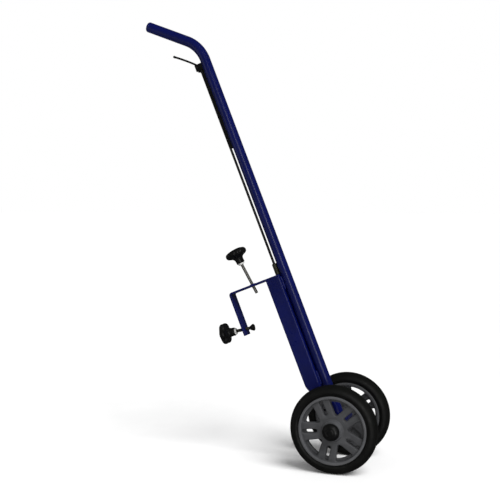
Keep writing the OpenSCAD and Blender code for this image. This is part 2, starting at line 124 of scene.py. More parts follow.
def round_edges(piece, width):
    """Rounds the edges over 35 degrees by width millimetres and keeps the flats flat."""
    bevel = piece.modifiers.new("rounded_edges", "BEVEL")
    bevel.width = width * MM
    bevel.segments = 3
    bevel.limit_method = "ANGLE"
    bevel.angle_limit = math.radians(35)
    bevel.harden_normals = True
    bevel.miter_outer = "MITER_ARC"


def arc(centre, radius, start, end, steps):
    """Points of an arc, angles in degrees."""
    angles = [math.radians(start + (end - start) * k / steps) for k in range(steps + 1)]
    return [(centre[0] + radius * math.cos(a), centre[1] + radius * math.sin(a)) for a in angles]


def fillet(points, closed=True, steps=4):
    """Rounds the corners of an outline; a point is (x, y) or (x, y, radius)."""
    count = len(points)
    out = []
    for k, point in enumerate(points):
        radius = point[2] if len(point) > 2 else 0
        if not radius or (not closed and k in (0, count - 1)):
            out.append(tuple(point[:2]))
            continue
        here = Vector(point[:2])
        before = (Vector(points[k - 1][:2]) - here).normalized()
        after = (Vector(points[(k + 1) % count][:2]) - here).normalized()
        half = before.angle(after) / 2
        reach = radius / math.tan(half)
        centre = here + (before + after).normalized() * radius / math.sin(half)
        first = here + before * reach - centre
        last = here + after * reach - centre
        turn = first.angle_signed(last)
        for step in range(steps + 1):
            swing = Matrix.Rotation(-turn * step / steps, 2) @ first
            out.append(tuple(centre + swing))
    return out


def lathe_data(profile, steps=96, closed=True):
    """Vertices and faces of a profile of (radius, z) turned about z."""
    verts, rings, faces = [], [], []
    for radius, z in profile:
        if radius < 1e-4:
            rings.append([len(verts)])
            verts.append((0, 0, z))
        else:
            rings.append(list(range(len(verts), len(verts) + steps)))
            verts += [(x, y, z) for x, y in circle_section(radius, steps)]
    pairs = list(zip(rings, rings[1:]))
    if closed:
        pairs.append((rings[-1], rings[0]))
    for low, high in pairs:
        for k in range(steps):
            after = (k + 1) % steps
            corners = [low[k % len(low)], low[after % len(low)], high[after % len(high)], high[k % len(high)]]
            corners = list(dict.fromkeys(corners))
            if len(corners) > 2:
                faces.append(corners)
    return verts, faces


def lathe(name, profile, matrix, material, steps=96, closed=True, sharp=40):
    verts, faces = lathe_data(profile, steps, closed)
    return add_mesh(name, verts, faces, matrix, material, sharp=sharp)


def sweep_data(rings, loop=False):
    """Vertices and faces through rings of points; open ends are capped."""
    size = len(rings[0])
    verts = [point for ring in rings for point in ring]
    faces = []
    count = len(rings)
    for k in range(count if loop else count - 1):
        low, high = k * size, (k + 1) % count * size
        for j in range(size):
            after = (j + 1) % size
            faces.append((low + j, low + after, high + after, high + j))
    if not loop:
        faces.append(tuple(reversed(range(size))))
        faces.append(tuple(range((count - 1) * size, count * size)))
    return verts, faces


def rings_on_path(path, section, scale=None):
    """Rings of a section of (across, out) points along an open path in a plane square to y."""
    side = Vector((0, 1, 0))
    points = [Vector(p) for p in path]
    count = len(points)
    rings = []
    for k, point in enumerate(points):
        before = points[k - 1] if k else point
        after = points[k + 1] if k < count - 1 else point
        along = (after - before).normalized()
        across = side - along * side.dot(along)
        across.normalize()
        out = across.cross(along)
        size = scale[k] if scale else 1
        rings.append([point + (across * a + out * b) * size for a, b in section])
    return rings


def circle_section(radius, steps):
    return [(radius * math.cos(TAU * k / steps), radius * math.sin(TAU * k / steps)) for k in range(steps)]


def prism_data(outline, half):
    """An outline in x and z, extruded in y from -half to half."""
    rings = [[(x, y, z) for x, z in outline] for y in (-half, half)]
    return sweep_data(rings)


def join_data(*parts):
    """One set of vertices and faces out of several."""
    verts, faces = [], []
    for part_verts, part_faces in parts:
        faces += [tuple(index + len(verts) for index in face) for face in part_faces]
        verts += part_verts
    return verts, faces


def placed(data, matrix):
    """Mesh data moved by a matrix in millimetres."""
    return [tuple(matrix @ Vector(v)) for v in data[0]], data[1]


def plate_data(outer, holes, z0, z1, bevel):
    """A flat plate with holes and rounded edges, from Blender's own 2D curve fill."""
    curve = bpy.data.curves.new("plate", "CURVE")
    curve.dimensions = "2D"
    curve.fill_mode = "BOTH"
    curve.extrude = (z1 - z0) / 2 - bevel
    curve.bevel_depth = bevel
    curve.bevel_resolution = 2
    curve.offset = -bevel
    for outline in [outer] + holes:
        spline = curve.splines.new("POLY")
        spline.points.add(len(outline) - 1)
        for point, (x, y) in zip(spline.points, outline):
            point.co = (x, y, 0, 1)
        spline.use_cyclic_u = True
    holder = bpy.data.objects.new("plate", curve)
    mesh = bpy.data.meshes.new_from_object(holder)
    verts = [(v.co.x, v.co.y, v.co.z + (z0 + z1) / 2) for v in mesh.vertices]
    faces = [tuple(polygon.vertices) for polygon in mesh.polygons]
    bpy.data.objects.remove(holder)
    bpy.data.curves.remove(curve)
    bpy.data.meshes.remove(mesh)
    return verts, faces


# ---- Materials ----


class Shader:
    """A small helper that builds one procedural material node by node."""

    def __init__(self, name):
        self.material = bpy.data.materials.new(name)
        self.material.use_nodes = True
        self.nodes = self.material.node_tree.nodes
        self.links = self.material.node_tree.links
        self.bsdf = self.nodes["Principled BSDF"]
        self.place = self.nodes.new("ShaderNodeTexCoord").outputs["Object"]

    def set(self, **values):
        for name, value in values.items():
            self.bsdf.inputs[name.replace("_", " ")].default_value = value

    def noise(self, scale, detail=4, roughness=0.55):
        """Fac of a noise whose scale is in features per metre."""
        node = self.nodes.new("ShaderNodeTexNoise")
        node.inputs["Scale"].default_value = scale
        node.inputs["Detail"].default_value = detail
        node.inputs["Roughness"].default_value = roughness
        self.links.new(self.place, node.inputs["Vector"])
        return node.outputs["Fac"]

    def cells(self, scale):
        node = self.nodes.new("ShaderNodeTexVoronoi")
        node.inputs["Scale"].default_value = scale
        self.links.new(self.place, node.inputs["Vector"])
        return node.outputs["Distance"]

    def edges(self):
        return self.nodes.new("ShaderNodeNewGeometry").outputs["Pointiness"]

    def depth(self, near, far):
        """From 0 to 1 as the distance from the dolly's middle plane goes from near to far, in metres."""
        parts = self.nodes.new("ShaderNodeSeparateXYZ")
        self.links.new(self.place, parts.inputs[0])
        size = self.nodes.new("ShaderNodeMath")
        size.operation = "ABSOLUTE"
        self.links.new(parts.outputs["Y"], size.inputs[0])
        return self.spread(size.outputs[0], 0, 1, near, far)

    def ramp(self, source, stops):
        """Colour from a value: stops are (position, colour)."""
        node = self.nodes.new("ShaderNodeValToRGB")
        elements = node.color_ramp.elements
        while len(elements) < len(stops):
            elements.new(0.5)
        for element, (position, colour) in zip(elements, stops):
            element.position = position
            element.color = (*colour, 1)
        self.links.new(source, node.inputs["Fac"])
        return node.outputs["Color"]

    def spread(self, source, low, high, from_low=0.3, from_high=0.7):
        node = self.nodes.new("ShaderNodeMapRange")
        node.inputs["From Min"].default_value = from_low
        node.inputs["From Max"].default_value = from_high
        node.inputs["To Min"].default_value = low
        node.inputs["To Max"].default_value = high
        self.links.new(source, node.inputs["Value"])
        return node.outputs["Result"]

    def mix(self, amount, first, second):
        node = self.nodes.new("ShaderNodeMix")
        node.data_type = "RGBA"
        self.links.new(amount, node.inputs["Factor"])
        for index, value in ((6, first), (7, second)):
            if isinstance(value, tuple):
                node.inputs[index].default_value = (*value, 1)
            else:
                self.links.new(value, node.inputs[index])
        return node.outputs[2]

    def times(self, first, second):
        node = self.nodes.new("ShaderNodeMix")
        node.data_type = "RGBA"
        node.blend_type = "MULTIPLY"
        node.inputs["Factor"].default_value = 1
        self.links.new(first, node.inputs[6])
        self.links.new(second, node.inputs[7])
        return node.outputs[2]

    def bump(self, layers):
        """Chained bumps: each layer is (height source, depth in millimetres, strength)."""
        normal = None
        for source, depth, strength in layers:
            node = self.nodes.new("ShaderNodeBump")
            node.inputs["Strength"].default_value = strength
            node.inputs["Distance"].default_value = depth * MM
            self.links.new(source, node.inputs["Height"])
            if normal:
                self.links.new(normal, node.inputs["Normal"])
            normal = node.outputs["Normal"]
        self.links.new(normal, self.bsdf.inputs["Normal"])

    def link(self, source, name):
        self.links.new(source, self.bsdf.inputs[name])


def shades(colour, *factors):
    return [tuple(channel * factor for channel in colour) for factor in factors]


def blue_paint():
    """Glossy navy powder coat with orange peel, faint scuffs and paler edges."""
    shader = Shader("blue_paint")
    base = (0.001, 0.003, 0.055)
    dark, mid, pale = shades(base, 0.78, 1.0, 1.25)
    cloud = shader.ramp(shader.noise(14, 5), [(0.3, dark), (0.5, mid), (0.75, pale)])
    scuff = shader.spread(shader.noise(95, 8, 0.7), 0, 0.35, 0.62, 0.78)
    scuffed = shader.mix(scuff, cloud, (0.005, 0.007, 0.058))
    worn = shader.spread(shader.edges(), 0, 0.45, 0.53, 0.62)
    shader.link(shader.mix(worn, scuffed, (0.008, 0.011, 0.085)), "Base Color")
    shader.link(shader.spread(shader.noise(60, 6), 0.26, 0.38), "Roughness")
    shader.set(Coat_Weight=0.3, Coat_Roughness=0.2, Specular_IOR_Level=0.4)
    shader.bump([(shader.noise(420, 2), 0.02, 0.25), (shader.noise(45, 3), 0.06, 0.1)])
    return shader.material


def zinc():
    """Zinc plate with a faint spangle and a fine grain."""
    shader = Shader("zinc")
    tones = shades((0.52, 0.51, 0.47), 0.75, 1.0, 1.15)
    shader.link(shader.ramp(shader.noise(130, 5), list(zip((0.25, 0.5, 0.8), tones))), "Base Color")
    shader.link(shader.spread(shader.noise(300, 4), 0.2, 0.42), "Roughness")
    shader.set(Metallic=0.9)
    shader.bump([(shader.noise(1500, 2), 0.02, 0.3), (shader.cells(500), 0.01, 0.2)])
    return shader.material


def pale_zinc_with_painted_highlight():
    """Whitish zinc of the knobs' bushes and washers: paler plating than the plain zinc, made paler still as a
    painted highlight for the white glint at the knobs' feet.
    """
    shader = Shader("pale_zinc_with_painted_highlight")
    # Painted highlight: near-white base tones stand in for the glint on the bushes and washers.
    tones = shades((0.8, 0.8, 0.78), 0.85, 1.0, 1.1)
    shader.link(shader.ramp(shader.noise(140, 4), list(zip((0.25, 0.5, 0.8), tones))), "Base Color")
    shader.link(shader.spread(shader.noise(280, 4), 0.22, 0.36), "Roughness")
    shader.set(Metallic=0.35)
    shader.bump([(shader.noise(900, 3), 0.015, 0.3)])
    return shader.material


def dark_steel():
    """Oiled, nearly black steel with a brown-green cast."""
    shader = Shader("dark_steel")
    tones = shades((0.062, 0.062, 0.045), 0.5, 1.0, 1.7)
    shader.link(shader.ramp(shader.noise(110, 6), list(zip((0.3, 0.52, 0.78), tones))), "Base Color")
    shader.link(shader.spread(shader.noise(240, 4), 0.3, 0.5), "Roughness")
    shader.set(Metallic=0.75)
    shader.bump([(shader.noise(900, 3), 0.03, 0.35)])
    return shader.material


def black_paint():
    """Satin black coating with bare metal just showing at the edges."""
    shader = Shader("black_paint")
    dark, pale = (0.0016, 0.0016, 0.0018), (0.0036, 0.0036, 0.004)
    cloud = shader.ramp(shader.noise(70, 5), [(0.3, dark), (0.7, pale)])
    worn = shader.spread(shader.edges(), 0, 0.5, 0.55, 0.66)
    shader.link(shader.mix(worn, cloud, (0.02, 0.02, 0.019)), "Base Color")
    shader.link(shader.spread(shader.noise(150, 4), 0.3, 0.5), "Roughness")
    shader.bump([(shader.noise(700, 3), 0.03, 0.3)])
    return shader.material


def black_plastic():
    """Moulded black plastic, finely pitted, polished on the high spots."""
    shader = Shader("black_plastic")
    dark, pale = (0.0022, 0.0022, 0.0023), (0.0048, 0.0048, 0.0046)
    cloud = shader.ramp(shader.noise(60, 4), [(0.3, dark), (0.75, pale)])
    shader.link(cloud, "Base Color")
    shader.link(shader.spread(shader.noise(90, 5), 0.34, 0.5), "Roughness")
    shader.bump([(shader.cells(1300), 0.03, 0.3), (shader.noise(160, 3), 0.05, 0.2)])
    return shader.material


def grey_plastic():
    """Grey wheel plastic with mould grain and paler worn ridges, with painted shade darkening the disc and
    barrel towards the dolly's middle and painted light brightening the outer lip and hub.
    """
    shader = Shader("grey_plastic")
    dark, mid, pale = shades((0.062, 0.063, 0.067), 0.8, 1.0, 1.18)
    cloud = shader.ramp(shader.noise(38, 6), [(0.3, dark), (0.5, mid), (0.74, pale)])
    worn = shader.spread(shader.edges(), 0, 0.5, 0.51, 0.6)
    # Painted shade and light: colour x0.74 on the disc and barrel nearer the dolly's middle plane, x1.08 on
    # the outer lip and hub face.
    painted_recess_shade = shader.mix(shader.depth(0.091, 0.099), (0.74, 0.74, 0.74), (1.08, 1.08, 1.08))
    shader.link(shader.times(shader.mix(worn, cloud, (0.11, 0.112, 0.116)), painted_recess_shade), "Base Color")
    shader.link(shader.spread(shader.noise(80, 5), 0.34, 0.5), "Roughness")
    shader.bump([(shader.cells(1100), 0.03, 0.28), (shader.noise(220, 4), 0.04, 0.2)])
    return shader.material


def tyre_rubber():
    """Black moulded rubber with a dusty bloom and a dull, warm sheen."""
    shader = Shader("tyre_rubber")
    dark, mid, dusty = (0.0022, 0.0024, 0.0021), (0.0036, 0.0037, 0.0033), (0.0085, 0.0082, 0.007)
    cloud = shader.ramp(shader.noise(30, 7, 0.65), [(0.32, dark), (0.6, mid), (0.85, dusty)])
    shader.link(cloud, "Base Color")
    shader.link(shader.spread(shader.noise(55, 6), 0.42, 0.62), "Roughness")
    shader.bump([(shader.noise(800, 4), 0.06, 0.4), (shader.noise(90, 4), 0.2, 0.3)])
    return shader.material


def pad_rubber():
    """Soft matt black rubber."""
    shader = Shader("pad_rubber")
    dark, pale = (0.002, 0.002, 0.002), (0.0045, 0.0045, 0.0043)
    cloud = shader.ramp(shader.noise(160, 5), [(0.3, dark), (0.75, pale)])
    shader.link(cloud, "Base Color")
    shader.link(shader.spread(shader.noise(300, 4), 0.5, 0.7), "Roughness")
    shader.bump([(shader.noise(1200, 3), 0.05, 0.4)])
    return shader.material


MAKERS = (
    blue_paint, zinc, pale_zinc_with_painted_highlight, dark_steel, black_paint,
    black_plastic, grey_plastic, tyre_rubber, pad_rubber,
)
MATERIALS = {make.__name__: make() for make in MAKERS}
SLOTS = {part["node"]: part["material_slot"] for part in RECORD["subparts"]}


def stands_for(piece, body, *nodes):
    """The piece rides on a body and replaces CAD nodes, whose finish it takes."""
    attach(piece, body)
    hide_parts(*nodes)


def finish_of(node):
    return MATERIALS[SLOTS[node]]


# ---- Column ----

TUBE_R = GRIP["dims"]["r_mm"]
BOSS_R = 14.0
BOSS_HALF = 63.7


def column_path():
    """Centre line of the column, bend and grip, in the column's x and z."""
    start = COLUMN.inverted() @ (Vector(GRIP["pos_m"]) - Vector(GRIP["axis"]) * GRIP_LEN * MM / 2)
    along = (COLUMN.inverted().to_3x3() @ Vector(GRIP["axis"])).normalized()
    angle = math.degrees(math.atan2(-along.x, along.z))
    bend_r = -start.x / (1 - math.cos(math.radians(angle)))
    bend_z = start.z - bend_r * math.sin(math.radians(angle))
    inside_boss = 6
    straight = [(0, inside_boss + (bend_z - inside_boss) * k / 40) for k in range(40)]
    bend = arc((-bend_r, bend_z), bend_r, 0, angle, 20)
    grip = [
        (start.x + along.x * GRIP_LEN * k / 8, start.z + along.z * GRIP_LEN * k / 8)
        for k in range(1, 9)
    ]
    return [(x, 0, z) for x, z in straight + bend + grip]


def make_column():
    rings = rings_on_path(column_path(), circle_section(TUBE_R, 72))
    tube = add_mesh("column", *sweep_data(rings), COLUMN, finish_of("column_tube"), sharp=50)
    stands_for(tube, "frame", "column_tube")

    edge, dome_r = 0.6, 4.2
    profile = [(0, -14), (10, -14), (10, 0.1), (TUBE_R - 0.3, 0.1), (TUBE_R, 0.5), (TUBE_R, edge)]
    profile += arc((TUBE_R - dome_r, edge), dome_r, 10, 70, 8) + [(4.5, 6.1), (0, 6.4)]
    plug = lathe("grip_end", profile, GRIP_END, finish_of("grip_plug"), 72)
    stands_for(plug, "frame", "grip_plug")

    section = fillet([(6.1, -BOSS_HALF), (BOSS_R, -BOSS_HALF, 1), (BOSS_R, BOSS_HALF, 1), (6.1, BOSS_HALF)])
    boss = lathe("axle_sleeve", section, CROSS, finish_of("axle_boss"), 72)
    stands_for(boss, "frame", "axle_boss")


def bead_data(path, radius, ripple, per_ripple=6):
    """A weld bead: a round cord along a path, swollen into overlapping scales."""
    count = len(path)
    sizes = []
    for k in range(count):
        phase = (k % per_ripple) / per_ripple
        taper = min(1, 0.35 + 0.3 * min(k, count - 1 - k))
        sizes.append(taper * (1 - ripple * phase))
    return sweep_data(rings_on_path(path, circle_section(radius, 12), sizes))


def foot_bead_data():
    """Closed bead where the column's foot meets the round axle sleeve."""
    steps, reach, lift = 180, 1.05, 0.6
    radius, ripple, per_ripple = 2.5, 0.16, 5
    foot = []
    for x, y in circle_section(TUBE_R, steps):
        foot.append(Vector((x * reach, y * reach, math.sqrt(BOSS_R**2 - x * x) + lift)))
    rings = []
    for k, point in enumerate(foot):
        along = (foot[(k + 1) % steps] - foot[k - 1]).normalized()
        out = Vector((point.x, point.y, 0)).normalized()
        up = along.cross(out)
        size = radius * (1 - ripple * (k % per_ripple) / per_ripple)
        rings.append([point + (out * a + up * b) * size for a, b in circle_section(1, 12)])
    return sweep_data(rings, loop=True)


def seam_data(side, z0, z1):
    """Slightly wandering bead in the corner between the channel's back and the column."""
    steps, seam_x, seam_y = 60, -11.4, 10.4
    radius, ripple = 2.7, 0.22
    path = []
    for k in range(steps + 1):
        x = seam_x + 0.25 * math.sin(k * 1.7)
        y = side * (seam_y + 0.2 * math.sin(k * 2.3))
        path.append((x, y, z0 + (z1 - z0) * k / steps))
    return bead_data(path, radius, ripple)


# Spatter beside the near seams, in the column's axes: x, distance to the near side, z and radius.
SPATTER = (
    (-12.9, 14.2, 127, 0.8), (-9.6, 12.5, 121, 0.7), (-13.4, 14.8, 109, 0.9), (-8.8, 12.6, 104, 0.7),
    (-12.0, 13.4, 115, 0.55), (-14.0, 16.2, 356, 0.6), (-9.9, 12.4, 362, 0.65),
)
SPATTER_DRAW_IN = 0.92


def make_welds():
    """Bead round the column's foot, four seams beside the channel, and spatter by the near seams."""
    low, high = (Vector(corner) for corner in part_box("weld_seams"))
    top_z = (COLUMN.inverted() @ Vector((low.x, 0, high.z))).z
    seams = ((top_z - 33, top_z - 1), (97, 132))
    parts = [foot_bead_data()]
    parts += [seam_data(side, z0, z1) for side in (-1, 1) for z0, z1 in seams]
    for x, y, z, radius in SPATTER:
        ball = lathe_data(arc((0, 0), radius, -90, 90, 8), 12, closed=False)
        parts.append(placed(ball, Matrix.Translation((x, -y * SPATTER_DRAW_IN, z))))
    welds = add_mesh("weld_beads", *join_data(*parts), COLUMN, finish_of("weld_seams"), sharp=60)
    stands_for(welds, "frame", "weld_seams")


# ---- Channel and hook ----

CHANNEL = {
    "back": -12.55, "front": -48.55, "half": 17.5, "t": 3.0,
    "foot": 77.0, "head": 371.0, "corner": 32.0,
}
BAR_TOP = 376.0
BAR_T = 5.0
LEG_OUTER = -149.5
LEG_FOOT = 266.0


def make_channel():
    """Bent sheet: stations run along the U, rows go up it; the front corners are rounded at the foot."""
    half_t = CHANNEL["t"] / 2
    y = CHANNEL["half"] - half_t
    web = CHANNEL["back"] - half_t
    bend = 2.5
    span = 18
    depth = web - bend - CHANNEL["front"]
    flange = [
        (CHANNEL["front"] + depth * (1 - math.cos(math.pi / 2 * k / span)), -y)
        for k in range(span)
    ]
    corner = arc((web - bend, bend - y), bend, -90, 0, 6)
    half = [(*point, (0, -1)) for point in flange]
    half += [(px, py, ((px - web + bend) / bend, (py + y - bend) / bend)) for px, py in corner]
    other = [(px, -py, (nx, -ny)) for px, py, (nx, ny) in reversed(half)]
    stations = half + other

    def foot_z(x):
        reach = x - CHANNEL["front"]
        r = CHANNEL["corner"]
        if reach >= r:
            return CHANNEL["foot"]
        return CHANNEL["foot"] + r - math.sqrt(max(0, r * r - (r - reach) ** 2))

    rows = 12
    verts, faces = [], []
    for px, py, (nx, ny) in stations:
        low = foot_z(px)
        for sign in (1, -1):
            for k in range(rows + 1):
                z = low + (CHANNEL["head"] - low) * k / rows
                verts.append((px + nx * half_t * sign, py + ny * half_t * sign, z))
    size = rows + 1
    for s in range(len(stations) - 1):
        here, there = 2 * size * s, 2 * size * (s + 1)
        for k in range(rows):
            faces.append((here + k, there + k, there + k + 1, here + k + 1))
            inner = size + k
            faces.append((here + inner, here + inner + 1, there + inner + 1, there + inner))
        faces.append((here, here + size, there + size, there))
        faces.append((here + rows, there + rows, there + size + rows, here + size + rows))
    for s in (0, len(stations) - 1):
        here = 2 * size * s
        faces += [(here + k, here + k + 1, here + size + k + 1, here + size + k) for k in range(rows)]
    channel = add_mesh("channel_sheet", verts, faces, COLUMN, finish_of("channel"), bevel=0.55)
    stands_for(channel, "frame", "channel")


def make_hook():
    """Flat bar over the rim with a rounded bend and eased edges."""
    outer_r, inner_r = 8, 3
    top, under = BAR_TOP, BAR_TOP - BAR_T
    inner_x = LEG_OUTER + BAR_T
    outline = [(CHANNEL["back"], under), (CHANNEL["back"], top)]
    outline += arc((LEG_OUTER + outer_r, top - outer_r), outer_r, 90, 180, 8)
    outline += [(LEG_OUTER, LEG_FOOT), (inner_x, LEG_FOOT)]
    outline += arc((inner_x + inner_r, under - inner_r), inner_r, 180, 90, 6)
    bar = prism_data(outline, CHANNEL["half"])
    hook = add_mesh("rim_hook_bar", *bar, COLUMN, finish_of("rim_hook"), bevel=0.9)
    stands_for(hook, "frame", "rim_hook")


# ---- Wheels ----

WHEEL_R = AXLE.z / MM
RIM = {"seat": 76.9, "inner": 72.0, "lip": 78.5, "half": 19.5, "back": 1.0, "face": 13.0, "hub": 22.0}
HUB_OUT = 27.0
HUB_SEAT = 23.0
HUB_BACK = -19.4
HUB_BORE = 9.1
HUB_CUP = 17.1
SPOKE_COUNT = 5
SPOKE_TURN = {"left": 186.0, "right": 2.0}


def window_outline(far_r, grow=0.0, steps=5):
    """Rounded triangle between two spokes, about the x axis; grow moves its sides outwards."""
    corner_r, half_angle, near_r, near_x = 3.0 + grow, 14.5, 4.5 + grow, 40.0
    reach = far_r - corner_r
    far = (reach * math.cos(math.radians(half_angle)), reach * math.sin(math.radians(half_angle)))
    side = math.degrees(math.atan2(far[1], far[0] - near_x)) + 90
    points = arc((near_x, 0), near_r, side, 360 - side, 2 * steps)
    points += arc((far[0], -far[1]), corner_r, -side, -half_angle, steps)
    points += arc((0, 0), far_r, 4 - half_angle, half_angle - 4, 2 * steps)
    points += arc(far, corner_r, half_angle, side, steps)
    return points


def slot_outline(far_x, half, steps=8):
    return arc((far_x, 0), half, -90, 90, steps) + arc((40.5, 0), half, 90, 270, steps)


def turned(points, degrees):
    c, s = math.cos(math.radians(degrees)), math.sin(math.radians(degrees))
    return [(x * c - y * s, x * s + y * c) for x, y in points]


def disc_layer(side, z0, z1, bevel, window, slot):
    """One layer of the disc; window and slot are the sizes of the openings through it."""
    turn = SPOKE_TURN[side]
    holes = [arc((0, 0), 12, 0, 354, 59)]
    for k in range(SPOKE_COUNT):
        holes.append(turned(slot_outline(*slot), turn + k * 360 / SPOKE_COUNT))
        holes.append(turned(window_outline(*window), turn + (k + 0.5) * 360 / SPOKE_COUNT))
    disc = arc((0, 0), RIM["inner"] + 2.5, 0, 357.5, 143)
    return plate_data(disc, holes, z0, z1, bevel)


def make_rim(side):
    """Barrel with rounded lips, a disc whose spokes stand up as soft-edged bars, and the hub."""
    seat, inner, lip, half, hub = (RIM[key] for key in ("seat", "inner", "lip", "half", "hub"))
    back, face = RIM["back"], RIM["face"]
    lip_in = half - 3
    barrel = fillet([
        (inner - 0.6, back + 2), (inner + 0.4, -half, 1.2), (lip, -half, 1.4), (lip, -lip_in, 0.5),
        (seat, -lip_in, 0.3), (seat, lip_in, 0.3), (lip, lip_in, 0.5), (lip, half, 1.6),
        (inner + 0.9, half, 1.8), (inner - 0.3, half - 4, 1.5), (inner - 0.6, face - 2),
    ])
    hub_form = fillet([
        (HUB_BORE, HUB_BACK), (hub - 1.5, HUB_BACK, 1.2), (hub - 0.2, back - 3),
        (hub + 3, back + 0.6, 1.5), (hub + 5, face - 3), (hub + 8, face + 0.15, 3),
        (hub + 2, face + 1.4, 3), (hub - 0.8, HUB_OUT - 1.6, 2), (hub - 1.6, HUB_OUT, 0.8),
        (HUB_CUP, HUB_OUT, 0.4), (HUB_CUP, HUB_SEAT), (HUB_BORE, HUB_SEAT),
    ])
    data = join_data(
        lathe_data(barrel, 144),
        disc_layer(side, back, 8.2, 0.8, (65.5, 0), (59.5, 3.75)),
        disc_layer(side, 7.4, face + 0.4, 2.6, (71.2, 0.5), (67.4, 4.2)),
        lathe_data(hub_form, 96),
    )
    rim = add_mesh(side + "_spoked_rim", *data, WHEEL[side], finish_of(side + "_rim"), sharp=32)
    stands_for(rim, side + "_wheel", side + "_rim")


def make_tyre(side):
    """Round tyre: a bead line at the rim, a shallow sidewall ring and a fine mould line round its crown."""
    shoulder_r, flat = 16.5, 18.5
    side_r = WHEEL_R - shoulder_r
    right = [(77.05, 14.6), (78.3, 15.4), (79.4, 15.8), (80.0, 15.4), (80.7, 15.6), (82.0, 17.2)]
    right += arc((side_r, flat - shoulder_r), shoulder_r, 88, 8, 18)
    right += [(WHEEL_R - 0.12, 2.2), (WHEEL_R - 0.1, 0.7), (WHEEL_R, 0.35)]
    left = [(r, -z) for r, z in reversed(right)]
    tyre = lathe(side + "_rubber_tyre", right + left, WHEEL[side], finish_of(side + "_tyre"), 160, sharp=55)
    stands_for(tyre, side + "_wheel", side + "_tyre")


def make_hub_cap(side):
    """Domed cap with a rounded skirt and a shallow ring round its raised middle."""
    profile = [(14, 0.1), (19.2, 0.1), (20, 0.8), (20, 2.4)]
    profile += arc((14.6, 2.6), 5.4, 5, 48, 6)
    profile += [(15.9, 8.4), (12.8, 10.1), (10.2, 11.0), (9.5, 11.05), (9.0, 10.6), (8.5, 10.6)]
    profile += [(8.0, 11.2), (6.5, 11.65), (3.2, 11.93), (0, 12), (0, 9.5), (9, 8.5), (14, 4)]
    matrix = moved(WHEEL[side], z=HUB_OUT)
    cap = lathe(side + "_domed_cap", profile, matrix, finish_of(side + "_hub_cap"), 96, sharp=60)
    stands_for(cap, side + "_wheel", side + "_hub_cap")


# ---- Hand screws ----

SCREW_R = 4.0
PITCH = 1.25
TOP_TIP = -20.7
TOP_FOOT = 62.0
SIDE_FOOT = 27.0
INTO_KNOB = 10
PAD_FACE = -24.2
PAD_LEN = 10.5
BALL_Z = PAD_FACE + 5


def knob_data():
    """Star knob on its foot: a flaring stem under a domed head with soft scallops."""
    lobes, dip = 6, 0.15
    # Radius, height and how much of the scallops shows there.
    profile = [
        (6.6, 0, 0), (9.6, 0, 0), (10.1, 0.6, 0), (10.2, 5, 0), (10.4, 9, 0), (11.2, 12, 0.05),
        (13.2, 14.6, 0.15), (16.6, 16.6, 0.4), (20.6, 18, 0.75), (24, 19.6, 0.95), (26.1, 21.9, 1),
        (26.95, 24.8, 1), (26.9, 27.8, 1), (25.9, 30.6, 1), (23.7, 32.8, 0.85), (20, 34.4, 0.55),
        (14.5, 35.6, 0.25), (8, 36.4, 0.05), (3.5, 36.6, 0),
    ]
    steps = 144
    rings = []
    for radius, z, share in profile:
        ring = []
        for k in range(steps):
            a = TAU * k / steps
            hollow = ((1 + math.cos(lobes * a)) / 2) ** 1.5
            r = radius * (1 - dip * share * hollow)
            ring.append((r * math.cos(a), r * math.sin(a), z))
        rings.append(ring)
    return sweep_data(rings)


def thread_data(z0, z1, chamfer=1.0):
    """A right-hand thread between two heights, with its first turns chamfered at z0."""
    around, per_turn, depth = 24, 8, 0.62
    count = int((z1 - z0) / PITCH * per_turn)
    rings = []
    for k in range(count + 1):
        z = z0 + (z1 - z0) * k / count
        ring = []
        for j in range(around):
            phase = (z / PITCH - j / around) % 1
            groove = depth * abs(2 * phase - 1)
            limit = SCREW_R - max(0, chamfer - (z - z0)) * 0.9
            r = min(SCREW_R - groove, limit)
            ring.append((r * math.cos(TAU * j / around), r * math.sin(TAU * j / around), z))
        rings.append(ring)
    return sweep_data(rings)


def make_screws():
    for name, matrix, foot in (("top", TOP_SCREW, TOP_FOOT), ("side", SIDE_SCREW, SIDE_FOOT)):
        seat = moved(matrix, z=foot)
        knob = add_mesh(name + "_star_knob", *knob_data(), seat, finish_of(name + "_knob"), sharp=50)
        stands_for(knob, name + "_screw", name + "_knob")
    thread = thread_data(TOP_TIP, TOP_FOOT + INTO_KNOB)
    top = add_mesh("top_thread", *thread, TOP_SCREW, finish_of("top_screw_rod"), sharp=80)
    stands_for(top, "top_screw", "top_screw_rod")

    pad_back = PAD_FACE + PAD_LEN
    ball_r, stem_r = 3.0, 2.2
    seam = math.degrees(math.acos(stem_r / ball_r))
    stem = arc((0, BALL_Z), ball_r, -90, seam, 12) + [(stem_r, pad_back + 1.4), (0, pad_back + 1.4)]
    data = join_data(thread_data(pad_back + 0.8, SIDE_FOOT + INTO_KNOB), lathe_data(stem, 32))
    side = add_mesh("side_thread", *data, SIDE_SCREW, finish_of("side_screw_rod"), sharp=80)
    stands_for(side, "side_screw", "side_screw_rod")

    socket_r, lip_r, mouth = 3.25, 2.65, 3.2
    lip = math.degrees(math.acos(lip_r / socket_r))
    cone = [(0, PAD_FACE), (8.3, PAD_FACE, 1.2), (8.3, PAD_FACE + 3, 1.0), (4.7, pad_back, 0.8)]
    profile = fillet(cone + [(mouth, pad_back)], closed=False)
    profile += [(x, z) for x, z in reversed(arc((0, BALL_Z), socket_r, -90, lip, 12))]
    pad = lathe("swivel_pad_cone", profile, SIDE_SCREW, finish_of("side_pad"), 64, closed=False, sharp=50)
    stands_for(pad, "swivel_pad", "side_pad")


# ---- Catch ----

LEVER_PIVOT = axes(JOINTS["lever_squeeze"]["pos_m"], COLUMN_UP)
ROD_X = (COLUMN.inverted() @ Vector([(low + high) / 2 for low, high in zip(*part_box("spring_housing"))])).x
SPRING_HEIGHT = 20.6
GUIDE_Z = (702, 899)


